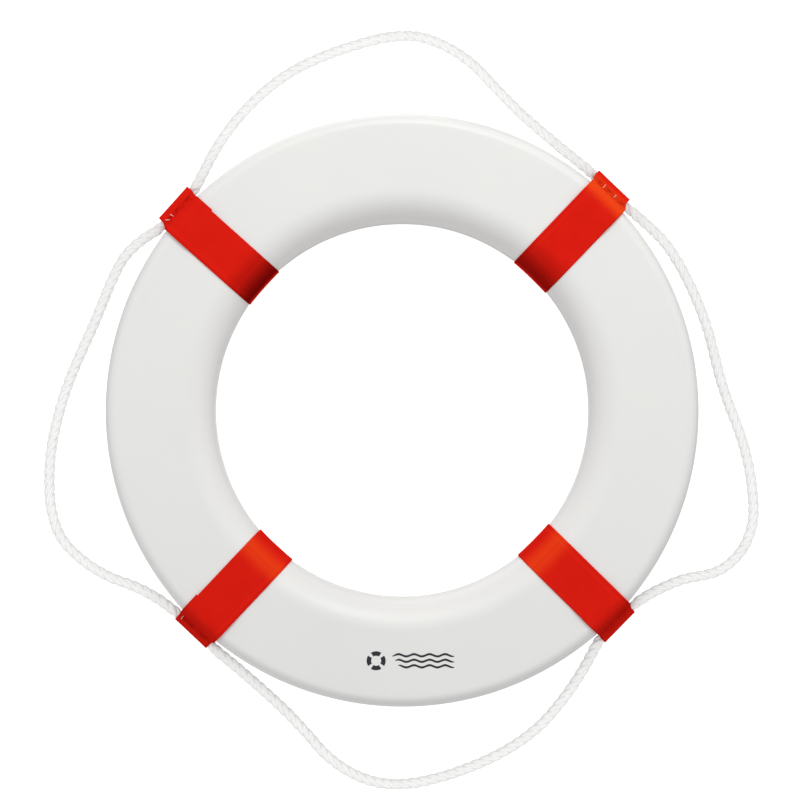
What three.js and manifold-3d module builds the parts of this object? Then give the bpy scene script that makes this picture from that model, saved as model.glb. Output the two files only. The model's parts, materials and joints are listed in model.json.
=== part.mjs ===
// Ring lifebuoy: a foam-filled ring of two welded half shells, four webbing straps wrapped round it,
// and one grab line held at the rim in a tunnel of each strap, hanging in four loops between them.
//
// Millimetres. The ring lies flat: its axis is +Z, the origin is its centre on the mid-plane, and the
// printed front face looks along +Z.

import * as THREE from "three";
import { mergeVertices } from "three/addons/utils/BufferGeometryUtils.js";
import Module from "manifold-3d";

// Ring
const OUTER_RADIUS = 300;
const INNER_RADIUS = 190;
const HALF_THICKNESS = 45;
const WALL_CURVE = 140;
const OUTER_ROUNDING = 10;
const INNER_ROUNDING = 30;
const RING_SEGMENTS = 60;

// Shells: moulded wall, welded at the mid-plane with a spigot inside and a low bead outside
const SHELL_WALL = 3;
const WELD_GAP = 0.15;
const BEAD_HEIGHT = 1.2;
const BEAD_HALF_WIDTH = 1.2;
const SPIGOT_DEPTH = 4;
const SPIGOT_INSET = 1.7;
const FIT = 0.3;

// Ports in the back shell, one to fill the ring with foam and one opposite it to let the air out
const PORT_RADIUS_FROM_CENTRE = 250;
const FILL_PORT = { angle: 90, head: 11, shank: 7.7 };
const VENT_PORT = { angle: 270, head: 6, shank: 3.7 };
const PLUG_HEAD_DEPTH = 1.5;

// Straps: each is one length of webbing, wrapped a little more than once round the ring's section.
// It starts on the front face, goes out over the rope and round the back, and ends over its own start.
const STRAP_ANGLES = { upper_right: 46.3, upper_left: 138.2, lower_left: 226.7, lower_right: 315.5 };
const STRAP_WIDTH = 45;
const WEBBING = 1.2;
const OUTER_RIM_SLACK = 0.6;
const INNER_RIM_SLACK = 2.6;
const START_RADIUS = 275;
const CLIMB_RADII = [262, 272];
const TUNNEL_FOOT_Z = 12;
const END_Z = 17;

// Seam: a row of stitches through both layers of webbing, just above the tunnel
const SEAM_Z = 20.5;
const STITCHES = 4;
const STITCH_PITCH = 9;
const THREAD = 0.7;
const THREAD_DIP = 0.8;
const NEEDLE_HOLE = { through: 5, length: 3.4, height: 1.3 };

// Grab line: a soft rope, which the webbing presses thinner in the tunnels
const ROPE_RADIUS = 5.7;
const PRESSED_ROPE_RADIUS = 4.75;
const ROPE_END_GAP = 0.5;
const ROPE_DROOP = 12;
const DOME_RADIUS = 5.1;

// Where each loop of the grab line runs between two straps: [degrees round the ring, radius]
const LOOPS = {
  top: {
    from: "upper_right",
    to: "upper_left",
    outline: [[60, 312.5], [70, 329], [80, 365], [88, 382], [98, 374.5], [110, 360], [122, 335]],
  },
  left: {
    from: "upper_left",
    to: "lower_left",
    outline: [[150, 322], [165, 326], [178, 345.5], [190, 365.5], [200, 372.5], [208, 350], [216, 316.5]],
  },
  bottom: {
    from: "lower_left",
    to: "lower_right",
    outline: [[239, 312], [250, 331], [260, 368.5], [268, 382], [280, 371.5], [292, 354], [302, 329]],
  },
  right: {
    from: "lower_right",
    to: "upper_right",
    outline: [[327, 323.5], [334, 366.5], [341, 376.5], [352, 355], [364, 327], [378, 320.5], [392, 317]],
  },
};

// Where the rope lies on the weld bead, in a tunnel and at its mouths, and how far from the strap's middle
// a loop pivots
const ROPE_SEAT = OUTER_RADIUS + BEAD_HEIGHT + FIT + PRESSED_ROPE_RADIUS;
const PIVOT_RADIUS = OUTER_RADIUS + BEAD_HEIGHT + FIT + ROPE_RADIUS;
const PIVOT_OFFSET = STRAP_WIDTH / 2 + ROPE_END_GAP + DOME_RADIUS;

// How far the middle of each layer of webbing stands off the shell
const FIRST_LAYER = FIT + WEBBING / 2;
const SECOND_LAYER = FIRST_LAYER + WEBBING + FIT;

const SHELL_PLASTIC = new THREE.MeshStandardMaterial({ color: 0xeeeff0, roughness: 0.42, metalness: 0 });
const FOAM = new THREE.MeshStandardMaterial({ color: 0xe6d9a8, roughness: 0.95, metalness: 0 });
const PLUG_PLASTIC = new THREE.MeshStandardMaterial({ color: 0xe4e5e6, roughness: 0.5, metalness: 0 });
const RED_WEBBING = new THREE.MeshStandardMaterial({ color: 0xd81a15, roughness: 0.7, metalness: 0 });
const PALE_THREAD = new THREE.MeshStandardMaterial({ color: 0xf0d8d2, roughness: 0.6, metalness: 0 });
const WHITE_ROPE = new THREE.MeshStandardMaterial({ color: 0xf0efec, roughness: 0.75, metalness: 0 });

const wasm = await Module();
wasm.setup();

// ---------------------------------------------------------------- helpers

function radians(degrees) {
  return THREE.MathUtils.degToRad(degrees);
}

// A mesh's closed geometry as a solid that can be joined and cut
function solid(geometry) {
  const bare = geometry.clone();
  bare.deleteAttribute("normal");
  bare.deleteAttribute("uv");
  const merged = mergeVertices(bare, 1e-4);
  return new wasm.Manifold(
    new wasm.Mesh({
      numProp: 3,
      vertProperties: merged.attributes.position.array,
      triVerts: new Uint32Array(merged.index.array),
    }),
  );
}

function geometryOf(manifold) {
  const mesh = manifold.getMesh();
  const geometry = new THREE.BufferGeometry();
  geometry.setAttribute("position", new THREE.BufferAttribute(mesh.vertProperties, 3));
  geometry.setIndex(new THREE.BufferAttribute(mesh.triVerts, 1));
  geometry.computeVertexNormals();
  return geometry;
}

function named(name, geometry, material) {
  const mesh = new THREE.Mesh(geometry, material.clone());
  mesh.name = name;
  return mesh;
}

// Points on an arc, both ends included, from one angle to another in degrees
function arc(x, y, radius, from, to, segments) {
  return Array.from({ length: segments + 1 }, (_, i) => {
    const angle = radians(from + ((to - from) * i) / segments);
    return new THREE.Vector2(x + radius * Math.cos(angle), y + radius * Math.sin(angle));
  });
}

// The outline of a thin strip whose middle follows a path, with mitred corners
function strip(path, thickness) {
  const side = (offset) =>
    path.map((point, i) => {
      const before = path[Math.max(i - 1, 0)];
      const after = path[Math.min(i + 1, path.length - 1)];
      const arriving = new THREE.Vector2().subVectors(point, before).normalize();
      const leaving = new THREE.Vector2().subVectors(after, point).normalize();
      const along = new THREE.Vector2().addVectors(arriving, leaving).normalize();
      const straight = i === 0 ? leaving : arriving;
      const reach = offset / along.dot(straight);
      return new THREE.Vector2(point.x - along.y * reach, point.y + along.x * reach);
    });
  return new THREE.Shape([...side(-thickness / 2), ...side(thickness / 2).reverse()]);
}

// ---------------------------------------------------------------- ring

// A corner of the section between a bulging wall and the flat face: its centre, and the angle at which
// the wall's large arc meets it. Heights are above the mid-plane, offsets inward from the wall's radius.
function corner(rounding) {
  const height = HALF_THICKNESS - rounding;
  const across = Math.sqrt((WALL_CURVE - rounding) ** 2 - height ** 2);
  const meets = THREE.MathUtils.radToDeg(Math.atan2(height, across));
  return { height, inward: WALL_CURVE - across, meets };
}

const OUTER_CORNER = corner(OUTER_ROUNDING);
const INNER_CORNER = corner(INNER_ROUNDING);

// The outer side of the section, raised off its surface by a lift, from the mid-plane up to the face
function outerSide(lift, slack = 0) {
  const { height, inward, meets } = OUTER_CORNER;
  const x = OUTER_RADIUS + slack;
  return [
    ...arc(x - WALL_CURVE, 0, WALL_CURVE + lift, 0, meets, 2),
    ...arc(x - inward, height, OUTER_ROUNDING + lift, meets, 90, 3).slice(1),
  ];
}

// The inner side, from the face down to the mid-plane
function innerSide(lift, slack = 0) {
  const { height, inward, meets } = INNER_CORNER;
  const x = INNER_RADIUS - slack;
  return [
    ...arc(x + inward, height, INNER_ROUNDING + lift, 90, 180 - meets, 4),
    ...arc(x + WALL_CURVE, 0, WALL_CURVE + lift, 180 - meets, 180, 2).slice(1),
  ];
}

// The front half of the section without its two ends on the mid-plane, from the outer to the inner wall
function halfSection(inset) {
  return [...outerSide(-inset).slice(1), ...innerSide(-inset).slice(0, -1)];
}

// The same outline mirrored to the back of the ring, in the opposite order
function mirrored(points) {
  return points.map((point) => new THREE.Vector2(point.x, -point.y)).reverse();
}

// A closed profile of radius and height, revolved about +Z
function revolve(points) {
  return new THREE.LatheGeometry([...points, points[0]], RING_SEGMENTS).rotateX(Math.PI / 2);
}

// One half shell. Its joint face steps at an inset: the inside of the wall ends at stepHeight there.
function halfShell(stepInset, stepHeight) {
  const at = (inset, height) => [
    new THREE.Vector2(INNER_RADIUS + inset, height),
    new THREE.Vector2(OUTER_RADIUS - inset, height),
  ];
  const [beadInner, beadOuter] = at(-BEAD_HEIGHT, WELD_GAP);
  const [beadTopInner, beadTopOuter] = at(-BEAD_HEIGHT, BEAD_HALF_WIDTH);
  const [footInner, footOuter] = at(0, BEAD_HALF_WIDTH);
  const [stepInner, stepOuter] = at(stepInset, WELD_GAP);
  const [lipInner, lipOuter] = at(stepInset, stepHeight);
  const [insideInner, insideOuter] = at(SHELL_WALL, stepHeight);
  return revolve([
    beadOuter,
    beadTopOuter,
    footOuter,
    ...halfSection(0),
    footInner,
    beadTopInner,
    beadInner,
    stepInner,
    lipInner,
    insideInner,
    ...halfSection(SHELL_WALL).reverse(),
    insideOuter,
    lipOuter,
    stepOuter,
  ]);
}

function foamCore() {
  const front = halfSection(SHELL_WALL + FIT);
  return revolve([...front, ...mirrored(front)]);
}

// A stepped round bar that stands on the back face with its axis along +Z
function portForm(port, radialGap, depthGap) {
  const outside = -HALF_THICKNESS;
  const shoulder = outside + PLUG_HEAD_DEPTH + depthGap;
  const inside = outside + SHELL_WALL + depthGap;
  const profile = [
    [0, outside - depthGap],
    [port.head + radialGap, outside - depthGap],
    [port.head + radialGap, shoulder],
    [port.shank + radialGap, shoulder],
    [port.shank + radialGap, inside],
    [0, inside],
  ].map(([radius, height]) => new THREE.Vector2(radius, height));
  const angle = radians(port.angle);
  return new THREE.LatheGeometry(profile, 16)
    .rotateX(Math.PI / 2)
    .translate(PORT_RADIUS_FROM_CENTRE * Math.cos(angle), PORT_RADIUS_FROM_CENTRE * Math.sin(angle), 0);
}

function ring() {
  const group = new THREE.Group();
  const front = halfShell(SPIGOT_INSET, -SPIGOT_DEPTH);
  const back = halfShell(SPIGOT_INSET - FIT, SPIGOT_DEPTH + FIT).rotateX(Math.PI);
  const portedBack = [FILL_PORT, VENT_PORT].reduce(
    (shell, port) => shell.subtract(solid(portForm(port, FIT, FIT))),
    solid(back),
  );
  group.add(named("front_shell", front, SHELL_PLASTIC));
  group.add(named("back_shell", geometryOf(portedBack), SHELL_PLASTIC));
  group.add(named("foam_core", foamCore(), FOAM));
  group.add(named("fill_plug", portForm(FILL_PORT, 0, 0), PLUG_PLASTIC));
  group.add(named("vent_plug", portForm(VENT_PORT, 0, 0), PLUG_PLASTIC));
  return group;
}

// ---------------------------------------------------------------- straps
// Each strap's own frame has +X outward along the strap and +Z along the ring's axis.

// A point on a layer of webbing where it lies on the outer wall
function onOuterWall(z, lift) {
  const reach = Math.sqrt((WALL_CURVE + lift) ** 2 - z ** 2);
  return new THREE.Vector2(OUTER_RADIUS + OUTER_RIM_SLACK - WALL_CURVE + reach, z);
}

// The webbing's middle line through the ring's section: out over the front corner and the rope, round
// the back and the inner rim, and over its own start to the sewn end on the outer wall
function strapPath() {
  const outer = (lift) => outerSide(lift, OUTER_RIM_SLACK);
  const inner = innerSide(FIRST_LAYER, INNER_RIM_SLACK);
  const firstTurn = outer(FIRST_LAYER).slice(2);
  const lastTurn = outer(SECOND_LAYER).slice(2).reverse();

  const overRope = PRESSED_ROPE_RADIUS + FIT + WEBBING / 2;
  const foot = onOuterWall(TUNNEL_FOOT_Z, FIRST_LAYER);
  const footX = foot.x - ROPE_SEAT;
  const tangent = Math.acos(overRope / Math.hypot(footX, TUNNEL_FOOT_Z));
  const wrap = THREE.MathUtils.radToDeg(Math.atan2(TUNNEL_FOOT_Z, footX) - tangent);
  const face = HALF_THICKNESS;

  return [
    new THREE.Vector2(START_RADIUS, face + FIRST_LAYER),
    ...firstTurn.toReversed(),
    foot,
    ...arc(ROPE_SEAT, 0, overRope, wrap, -wrap, 5),
    ...mirrored([...firstTurn.toReversed(), foot]),
    ...mirrored(inner.toReversed()),
    ...inner.toReversed().slice(1),
    new THREE.Vector2(CLIMB_RADII[0], face + FIRST_LAYER),
    new THREE.Vector2(CLIMB_RADII[1], face + SECOND_LAYER),
    ...lastTurn,
    onOuterWall(END_Z, SECOND_LAYER),
  ];
}

function needleHolePositions() {
  return Array.from({ length: STITCHES + 1 }, (_, i) => (i - STITCHES / 2) * STITCH_PITCH);
}

function strapWebbing() {
  const wrapped = new THREE.ExtrudeGeometry(strip(strapPath(), WEBBING), {
    depth: STRAP_WIDTH,
    bevelEnabled: false,
  });
  wrapped.translate(0, 0, -STRAP_WIDTH / 2).rotateX(Math.PI / 2);
  const seam = onOuterWall(SEAM_Z, SECOND_LAYER);
  const punched = needleHolePositions().reduce((webbing, y) => {
    const hole = new THREE.BoxGeometry(NEEDLE_HOLE.through, NEEDLE_HOLE.length, NEEDLE_HOLE.height);
    return webbing.subtract(solid(hole.translate(seam.x - WEBBING / 2, y, seam.y)));
  }, solid(wrapped));
  return geometryOf(punched);
}

// The top thread of the seam: it lies on the webbing between needle holes and dips into each
function seamThread() {
  const seam = onOuterWall(SEAM_Z, SECOND_LAYER);
  const raised = seam.x + WEBBING / 2 + FIT + THREAD / 2;
  const sunk = seam.x - WEBBING / 2 - FIT;
  const holes = needleHolePositions();
  const path = holes.flatMap((y, i) => {
    const at = (dips, height) => new THREE.Vector2(y + dips * THREAD_DIP, height);
    const arriving = i > 0 ? [at(-1.5, raised)] : [];
    const leaving = i < holes.length - 1 ? [at(1.5, raised)] : [];
    return [...arriving, at(-0.5, sunk), at(0.5, sunk), ...leaving];
  });
  const thread = new THREE.ExtrudeGeometry(strip(path, THREAD), { depth: THREAD, bevelEnabled: false });
  return thread.rotateZ(-Math.PI / 2).translate(0, 0, seam.y - THREAD / 2);
}

// A straight length of the grab line inside a tunnel, from one place across the strap to another
function ropeInTunnel(from, to) {
  return new THREE.CylinderGeometry(PRESSED_ROPE_RADIUS, PRESSED_ROPE_RADIUS, to - from, 16)
    .translate(ROPE_SEAT, (from + to) / 2, 0);
}

function strap(place) {
  const group = new THREE.Group();
  group.rotation.z = radians(STRAP_ANGLES[place]);
  group.add(named(`strap_${place}`, strapWebbing(), RED_WEBBING));
  group.add(named(`stitches_${place}`, seamThread(), PALE_THREAD));
  const reach = STRAP_WIDTH / 2;
  if (place === "lower_right") {
    group.add(named("rope_first_end", ropeInTunnel(-reach, -FIT / 2), WHITE_ROPE));
    group.add(named("rope_last_end", ropeInTunnel(FIT / 2, reach), WHITE_ROPE));
  } else {
    group.add(named(`rope_pass_${place}`, ropeInTunnel(-reach, reach), WHITE_ROPE));
  }
  return group;
}

// ---------------------------------------------------------------- grab line loops

// Where a loop of the grab line meets a tunnel: side is +1 at the strap's anticlockwise mouth
function mouth(place, side) {
  return new THREE.Vector3(PIVOT_RADIUS, side * PIVOT_OFFSET, 0)
    .applyAxisAngle(new THREE.Vector3(0, 0, 1), radians(STRAP_ANGLES[place]));
}

// The loop sinks below the mid-plane in step with how far it stands off the rim
function loopCurve({ from, to, outline }) {
  const furthest = Math.max(...outline.map(([, radius]) => radius));
  const points = outline.map(([degrees, radius]) => {
    const angle = radians(degrees);
    const droop = (ROPE_DROOP * (radius - PIVOT_RADIUS)) / (furthest - PIVOT_RADIUS);
    return new THREE.Vector3(radius * Math.cos(angle), radius * Math.sin(angle), -droop);
  });
  return new THREE.CatmullRomCurve3([mouth(from, 1), ...points, mouth(to, -1)]);
}

// A loop with rounded ends, which let it swing at the tunnel mouths
function loopRope(loop) {
  const curve = loopCurve(loop);
  const section = new THREE.Shape().absarc(0, 0, ROPE_RADIUS, 0, 2 * Math.PI);
  const length = new THREE.ExtrudeGeometry(section, { steps: 36, curveSegments: 4, extrudePath: curve });
  const rounded = [0, 1].reduce((rope, end) => {
    const { x, y, z } = curve.getPoint(end);
    const dome = new THREE.SphereGeometry(DOME_RADIUS, 8, 6).translate(x, y, z);
    return rope.add(solid(dome));
  }, solid(length));
  return geometryOf(rounded);
}

// ---------------------------------------------------------------- whole object

const lifebuoy = new THREE.Group();
lifebuoy.add(ring());
for (const place of Object.keys(STRAP_ANGLES)) {
  lifebuoy.add(strap(place));
}
for (const [side, loop] of Object.entries(LOOPS)) {
  lifebuoy.add(named(`grab_line_loop_${side}`, loopRope(loop), WHITE_ROPE));
}

export default lifebuoy;
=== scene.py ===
"""Ring lifebuoy: the visible model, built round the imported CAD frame.

The ring lies flat with its printed face towards +Z. Shapes are worked out in millimetres from the frame's
own nodes and turned into metres when a mesh is made.
"""

import json
import math

import bmesh
import bpy
import numpy as np
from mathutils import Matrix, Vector


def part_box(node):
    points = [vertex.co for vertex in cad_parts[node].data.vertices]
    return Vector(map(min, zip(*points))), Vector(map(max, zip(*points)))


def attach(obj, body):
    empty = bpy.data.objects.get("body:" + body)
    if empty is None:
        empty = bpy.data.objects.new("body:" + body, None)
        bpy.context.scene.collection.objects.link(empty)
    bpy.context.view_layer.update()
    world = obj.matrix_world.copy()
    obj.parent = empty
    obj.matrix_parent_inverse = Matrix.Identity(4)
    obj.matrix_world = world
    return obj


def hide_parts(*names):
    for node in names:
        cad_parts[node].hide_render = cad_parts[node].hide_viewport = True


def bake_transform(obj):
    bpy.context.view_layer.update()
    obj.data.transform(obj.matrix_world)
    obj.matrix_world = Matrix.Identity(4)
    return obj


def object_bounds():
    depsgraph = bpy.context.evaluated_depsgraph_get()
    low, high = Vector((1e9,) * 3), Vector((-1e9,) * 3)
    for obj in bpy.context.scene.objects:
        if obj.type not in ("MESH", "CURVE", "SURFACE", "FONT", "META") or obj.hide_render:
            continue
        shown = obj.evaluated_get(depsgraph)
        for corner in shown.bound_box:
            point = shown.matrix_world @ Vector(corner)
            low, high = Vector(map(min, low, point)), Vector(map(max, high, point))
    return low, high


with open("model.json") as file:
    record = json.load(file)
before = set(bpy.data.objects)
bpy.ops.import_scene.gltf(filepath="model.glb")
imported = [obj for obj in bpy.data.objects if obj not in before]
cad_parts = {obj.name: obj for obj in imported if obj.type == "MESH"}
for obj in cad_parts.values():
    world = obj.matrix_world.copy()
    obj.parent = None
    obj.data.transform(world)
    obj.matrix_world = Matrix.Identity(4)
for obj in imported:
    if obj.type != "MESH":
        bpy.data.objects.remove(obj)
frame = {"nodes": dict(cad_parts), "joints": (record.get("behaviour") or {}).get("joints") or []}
cad_low, cad_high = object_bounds()

MM = 0.001
SHARP_ANGLE = math.radians(50)

# ---------------------------------------------------------------- driving dimensions, in millimetres

# Ring section: bulging walls, a tight corner outside and a wide one inside
WALL_CURVE = 140.0
OUTER_ROUNDING = 10.0
INNER_ROUNDING = 30.0
SHELL_WALL = 3.0
WELD_HALF_GAP = 0.08
BEAD_HEIGHT = 1.2
FOAM_GAP = 0.4

# Webbing: it lies half flat, half hugging the curve of the ring, so its middle stands off the inner wall
WEBBING_WIDTH = 45.0
WEBBING_THICKNESS = 1.2
SELVEDGE = 2.2
LAYER_GAP = 0.3
INNER_SLACK = 0.7
TRIMMED_BEAD = 0.5
TRIM_FADE = 0.02
HUGGING = 0.5
START_RADIUS = 275.0
CLIMB_RADII = (258.0, 274.0)
POINTS_ACROSS = 26
SEAM_HEIGHT = 20.5
TUNNEL_FOOT_HEIGHT = 13.5
TUNNEL_TANGENT = 62.0
TUNNEL_WIDTH = 43.5
CORNER_LENGTH = 7.0
FLAT_END = 12.0
SHIFTING_SHARE = 0.6
PUCKER_REACH = 3.6
END_RADIUS = 303.0
GROOVE_RADIUS = 304.4
GROOVE_REACH = 1.5
WEAVE_PITCH = 1.5

# Over how many points along the webbing its narrowing and its painted highlight and shade are evened out
SETTLING = 17
PAINTED_LIGHT_FADING = 19

# Rope and thread, both of three strands. The rope swells from its pressed size over a stretch at each mouth
ROPE_RADIUS = 5.7
ROPE_LAY = 29.0
ROPE_STRAND = 3.35
SWELLING = (21.5, 29.5)
ROPE_STEP = 1.2
ROPE_SIDES = 14
THREAD_LAY = 2.4
THREAD_STRAND = 0.2
THREAD_STEP = 0.25
THREAD_SIDES = 7
STITCH_PITCH = 9.0
STITCHES = 4

# Back plugs: the gap round them, how deep their seat is, and how the driver slot compares with the head
PLUG_NODES = ("fill_plug", "vent_plug")
PLUG_GAP = 0.25
PLUG_SEAT_DEPTH = 1.8
PLUG_SIDES = 64
SLOT_LENGTH_SHARE = 0.9
SLOT_WIDTH_SHARE = 0.16
SLOT_HEIGHT = 1.4

# How each strap differs. Pairs of sides are (clockwise, anticlockwise), and shifts are anticlockwise.
# - shift, start_shift, tunnel_shift: how far it, its start and its tunnel lie off its place
# - slack: how far the tunnel stands off the rope
# - corners: how round its end's two corners are
# - puckers, pucker: where and how much its seam puckers it
# - groove: how dark the shade painted into the groove beyond its sewn end is
# - bridges: where thread bridges that groove, and how slanted
# - painted_light: the highlight (above 0) or shade (below 0) painted on its inner and outer roundings
STRAPS = {
    "upper_right": {
        "shift": -0.6, "start_shift": -0.3, "tunnel_shift": 2.2, "slack": 2.0, "corners": (6.0, 1.0),
        "puckers": (-16.0, 2.0, 14.5), "pucker": 0.15, "groove": 0.75,
        "bridges": ((-6.1, -0.2), (8.5, 0.3)), "painted_light": (-0.75, 0.85),
    },
    "upper_left": {
        "shift": 0.9, "start_shift": -1.3, "tunnel_shift": -2.2, "slack": 2.0, "corners": (0.5, 7.0),
        "puckers": (-14.3, 1.1, 11.3), "pucker": 0.35, "groove": 0.8,
        "bridges": ((8.0, 0.6), (13.2, 2.6)), "painted_light": (-0.95, 0.0),
    },
    "lower_left": {
        "shift": 0.4, "start_shift": -1.4, "tunnel_shift": -0.9, "slack": 0.3, "corners": (3.5, 3.5),
        "puckers": (-15.0, -6.0, 10.0), "pucker": 0.25, "groove": 0.7,
        "bridges": ((-18.4, 0.3),), "painted_light": (0.6, -0.2),
    },
    "lower_right": {
        "shift": -0.3, "start_shift": -0.3, "tunnel_shift": -2.1, "slack": 0.0, "corners": (1.5, 6.0),
        "puckers": (-9.0, 9.0), "pucker": 0.08, "groove": 0.3,
        "bridges": (), "painted_light": (0.6, -0.35),
    },
}

# The straps that each loop of the grab line hangs between
LOOPS = {
    "top": ("upper_right", "upper_left"),
    "left": ("upper_left", "lower_left"),
    "bottom": ("lower_left", "lower_right"),
    "right": ("lower_right", "upper_right"),
}

# ---------------------------------------------------------------- what the frame says


def node_points(name):
    """The vertices of a CAD node as an array, in millimetres."""
    return np.array([v.co for v in frame["nodes"][name].data.vertices]) / MM


def polar_radius(points):
    return np.hypot(points[:, 0], points[:, 1])


front_shell_points = node_points("front_shell")
OUTER_RADIUS = polar_radius(front_shell_points).max() - BEAD_HEIGHT
INNER_RADIUS = polar_radius(front_shell_points).min() + BEAD_HEIGHT
HALF_THICKNESS = front_shell_points[:, 2].max()


def direction(angle):
    """Outward unit vector at an angle round the ring."""
    return np.array([math.cos(angle), math.sin(angle), 0.0])


def tangent(angle):
    """Anticlockwise unit vector at an angle round the ring."""
    return np.array([-math.sin(angle), math.cos(angle), 0.0])


def strap_angle(place):
    """The angle whose tangent the strap lies evenly across."""
    points = node_points(f"strap_{place}")
    centre = points.mean(0)
    angle = math.atan2(centre[1], centre[0])
    for _ in range(4):
        across = points @ tangent(angle)
        angle += (across.min() + across.max()) / 2 / polar_radius(points).mean()
    return angle


STRAP_ANGLES = {place: strap_angle(place) for place in STRAPS}
rope_pass_points = node_points("rope_pass_upper_left")
along_strap = rope_pass_points @ direction(STRAP_ANGLES["upper_left"])
ROPE_SEAT = (along_strap.min() + along_strap.max()) / 2
PRESSED_ROPE_RADIUS = (along_strap.max() - along_strap.min()) / 2

# ---------------------------------------------------------------- mesh helpers


def linked(name, data):
    """A new object of the scene."""
    thing = bpy.data.objects.new(name, data)
    bpy.context.scene.collection.objects.link(thing)
    return thing


def mesh_of(name, shape):
    """A mesh from a bmesh, which is freed."""
    mesh = bpy.data.meshes.new(name)
    shape.to_mesh(mesh)
    shape.free()
    return mesh


def make_object(name, points, faces, material, body, uvs=None):
    """A smooth-shaded piece from points in millimetres. uvs holds one pair for each corner of each face."""
    mesh = bpy.data.meshes.new(name)
    mesh.from_pydata((np.asarray(points) * MM).tolist(), [], faces)
    if uvs is not None:
        layer = mesh.uv_layers.new(name="cloth")
        layer.data.foreach_set("uv", np.asarray(uvs, np.float32).ravel())
    mesh.update()
    mesh.validate()
    mesh.shade_smooth()
    mesh.set_sharp_from_angle(angle=SHARP_ANGLE)
    mesh.materials.append(material)
    piece = linked(name, mesh)
    if body is not None:
        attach(piece, body)
    return piece


def tube(rings, around, along):
    """Points, faces and uvs of a capped tube. rings is (steps, sides, 3), going anticlockwise as seen from
    its far end. around has one value more than a ring has points, along has one for each ring."""
    steps, sides = rings.shape[:2]
    points = rings.reshape(-1, 3)
    faces = []
    uvs = []
    for i in range(steps - 1):
        for j in range(sides):
            k = (j + 1) % sides
            faces.append((i * sides + j, i * sides + k, (i + 1) * sides + k, (i + 1) * sides + j))
            uvs += [
                (around[j], along[i]),
                (around[j + 1], along[i]),
                (around[j + 1], along[i + 1]),
                (around[j], along[i + 1]),
            ]
    last = (steps - 1) * sides
    faces.append(tuple(range(sides - 1, -1, -1)))
    uvs += [(around[j], along[0]) for j in range(sides - 1, -1, -1)]
    faces.append(tuple(range(last, last + sides)))
    uvs += [(around[j], along[-1]) for j in range(sides)]
    return points, faces, uvs


def joined(parts):
    """Several (points, faces, uvs) as one."""
    points = []
    faces = []
    uvs = []
    count = 0
    for part_points, part_faces, part_uvs in parts:
        points.append(part_points)
        faces += [tuple(index + count for index in face) for face in part_faces]
        uvs += part_uvs
        count += len(part_points)
    return np.concatenate(points), faces, uvs


def arc_lengths(path):
    steps = np.linalg.norm(np.diff(path, axis=0), axis=1)
    return np.concatenate([[0.0], np.cumsum(steps)])


def resampled(path, step):
    """Evenly spaced points along a polyline, and their distances along it."""
    lengths = arc_lengths(path)
    count = max(2, round(lengths[-1] / step) + 1)
    places = np.linspace(0, lengths[-1], count)
    columns = [np.interp(places, lengths, path[:, i]) for i in range(path.shape[1])]
    return np.stack(columns, axis=1), places


def softened(path, passes):
    """A polyline with its corners eased, its ends kept."""
    path = path.copy()
    for _ in range(passes):
        path[1:-1] = 0.25 * path[:-2] + 0.5 * path[1:-1] + 0.25 * path[2:]
    return path


def smooth_step(low, high, values):
    t = np.clip((values - low) / (high - low), 0, 1)
    return t * t * (3 - 2 * t)


def catmull_rom(points, samples):
    """A centripetal Catmull-Rom curve through the points."""
    points = np.asarray(points, float)
    ends = np.vstack([2 * points[0] - points[1], points, 2 * points[-1] - points[-2]])
    curve = []
    for i in range(len(points) - 1):
        p0, p1, p2, p3 = ends[i : i + 4]
        knots = np.cumsum([0] + [np.linalg.norm(b - a) ** 0.5 for a, b in ((p0, p1), (p1, p2), (p2, p3))])
        for t in np.linspace(knots[1], knots[2], samples, endpoint=False):
            a1 = p0 + (p1 - p0) * (t - knots[0]) / (knots[1] - knots[0])
            a2 = p1 + (p2 - p1) * (t - knots[1]) / (knots[2] - knots[1])
            a3 = p2 + (p3 - p2) * (t - knots[2]) / (knots[3] - knots[2])
            b1 = a1 + (a2 - a1) * (t - knots[0]) / (knots[2] - knots[0])
            b2 = a2 + (a3 - a2) * (t - knots[1]) / (knots[3] - knots[1])
            curve.append(b1 + (b2 - b1) * (t - knots[1]) / (knots[2] - knots[1]))
    curve.append(points[-1])
    return np.array(curve)


# ---------------------------------------------------------------- ring section


def rim(outside, lift, wall_steps=10, corner_steps=12):
    """One side of the front half of the section, raised off it by lift, from the mid-plane to the face."""
    radius = OUTER_RADIUS if outside else INNER_RADIUS
    rounding = OUTER_ROUNDING if outside else INNER_ROUNDING
    sign = 1 if outside else -1
    height = HALF_THICKNESS - rounding
    across = math.sqrt((WALL_CURVE - rounding) ** 2 - height**2)
    meets = math.atan2(height, across)
    wall = np.linspace(0, meets, wall_steps + 1)
    corner = np.linspace(meets, math.pi / 2, corner_steps + 1)[1:]
    reach = np.concatenate([
        (WALL_CURVE + lift) * np.cos(wall) - WALL_CURVE,
        (rounding + lift) * np.cos(corner) - (WALL_CURVE - across),
    ])
    heights = np.concatenate([
        (WALL_CURVE + lift) * np.sin(wall),
        height + (rounding + lift) * np.sin(corner),
    ])
    return np.stack([radius + sign * reach, heights], axis=1)


def mirrored(path):
    return path * (1, -1)


def ripple(angle, place):
    """How far the moulded surface stands off its true shape, in millimetres."""
    return (
        0.07 * np.sin(3 * angle + 0.7) * np.sin(place * 4.1 + 0.4)
        + 0.05 * np.sin(7 * angle + 2.1 + place * 2.0)
        + 0.03 * np.sin(17 * angle + 0.9) * np.sin(place * 9.0 + 1.3)
    )


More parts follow.
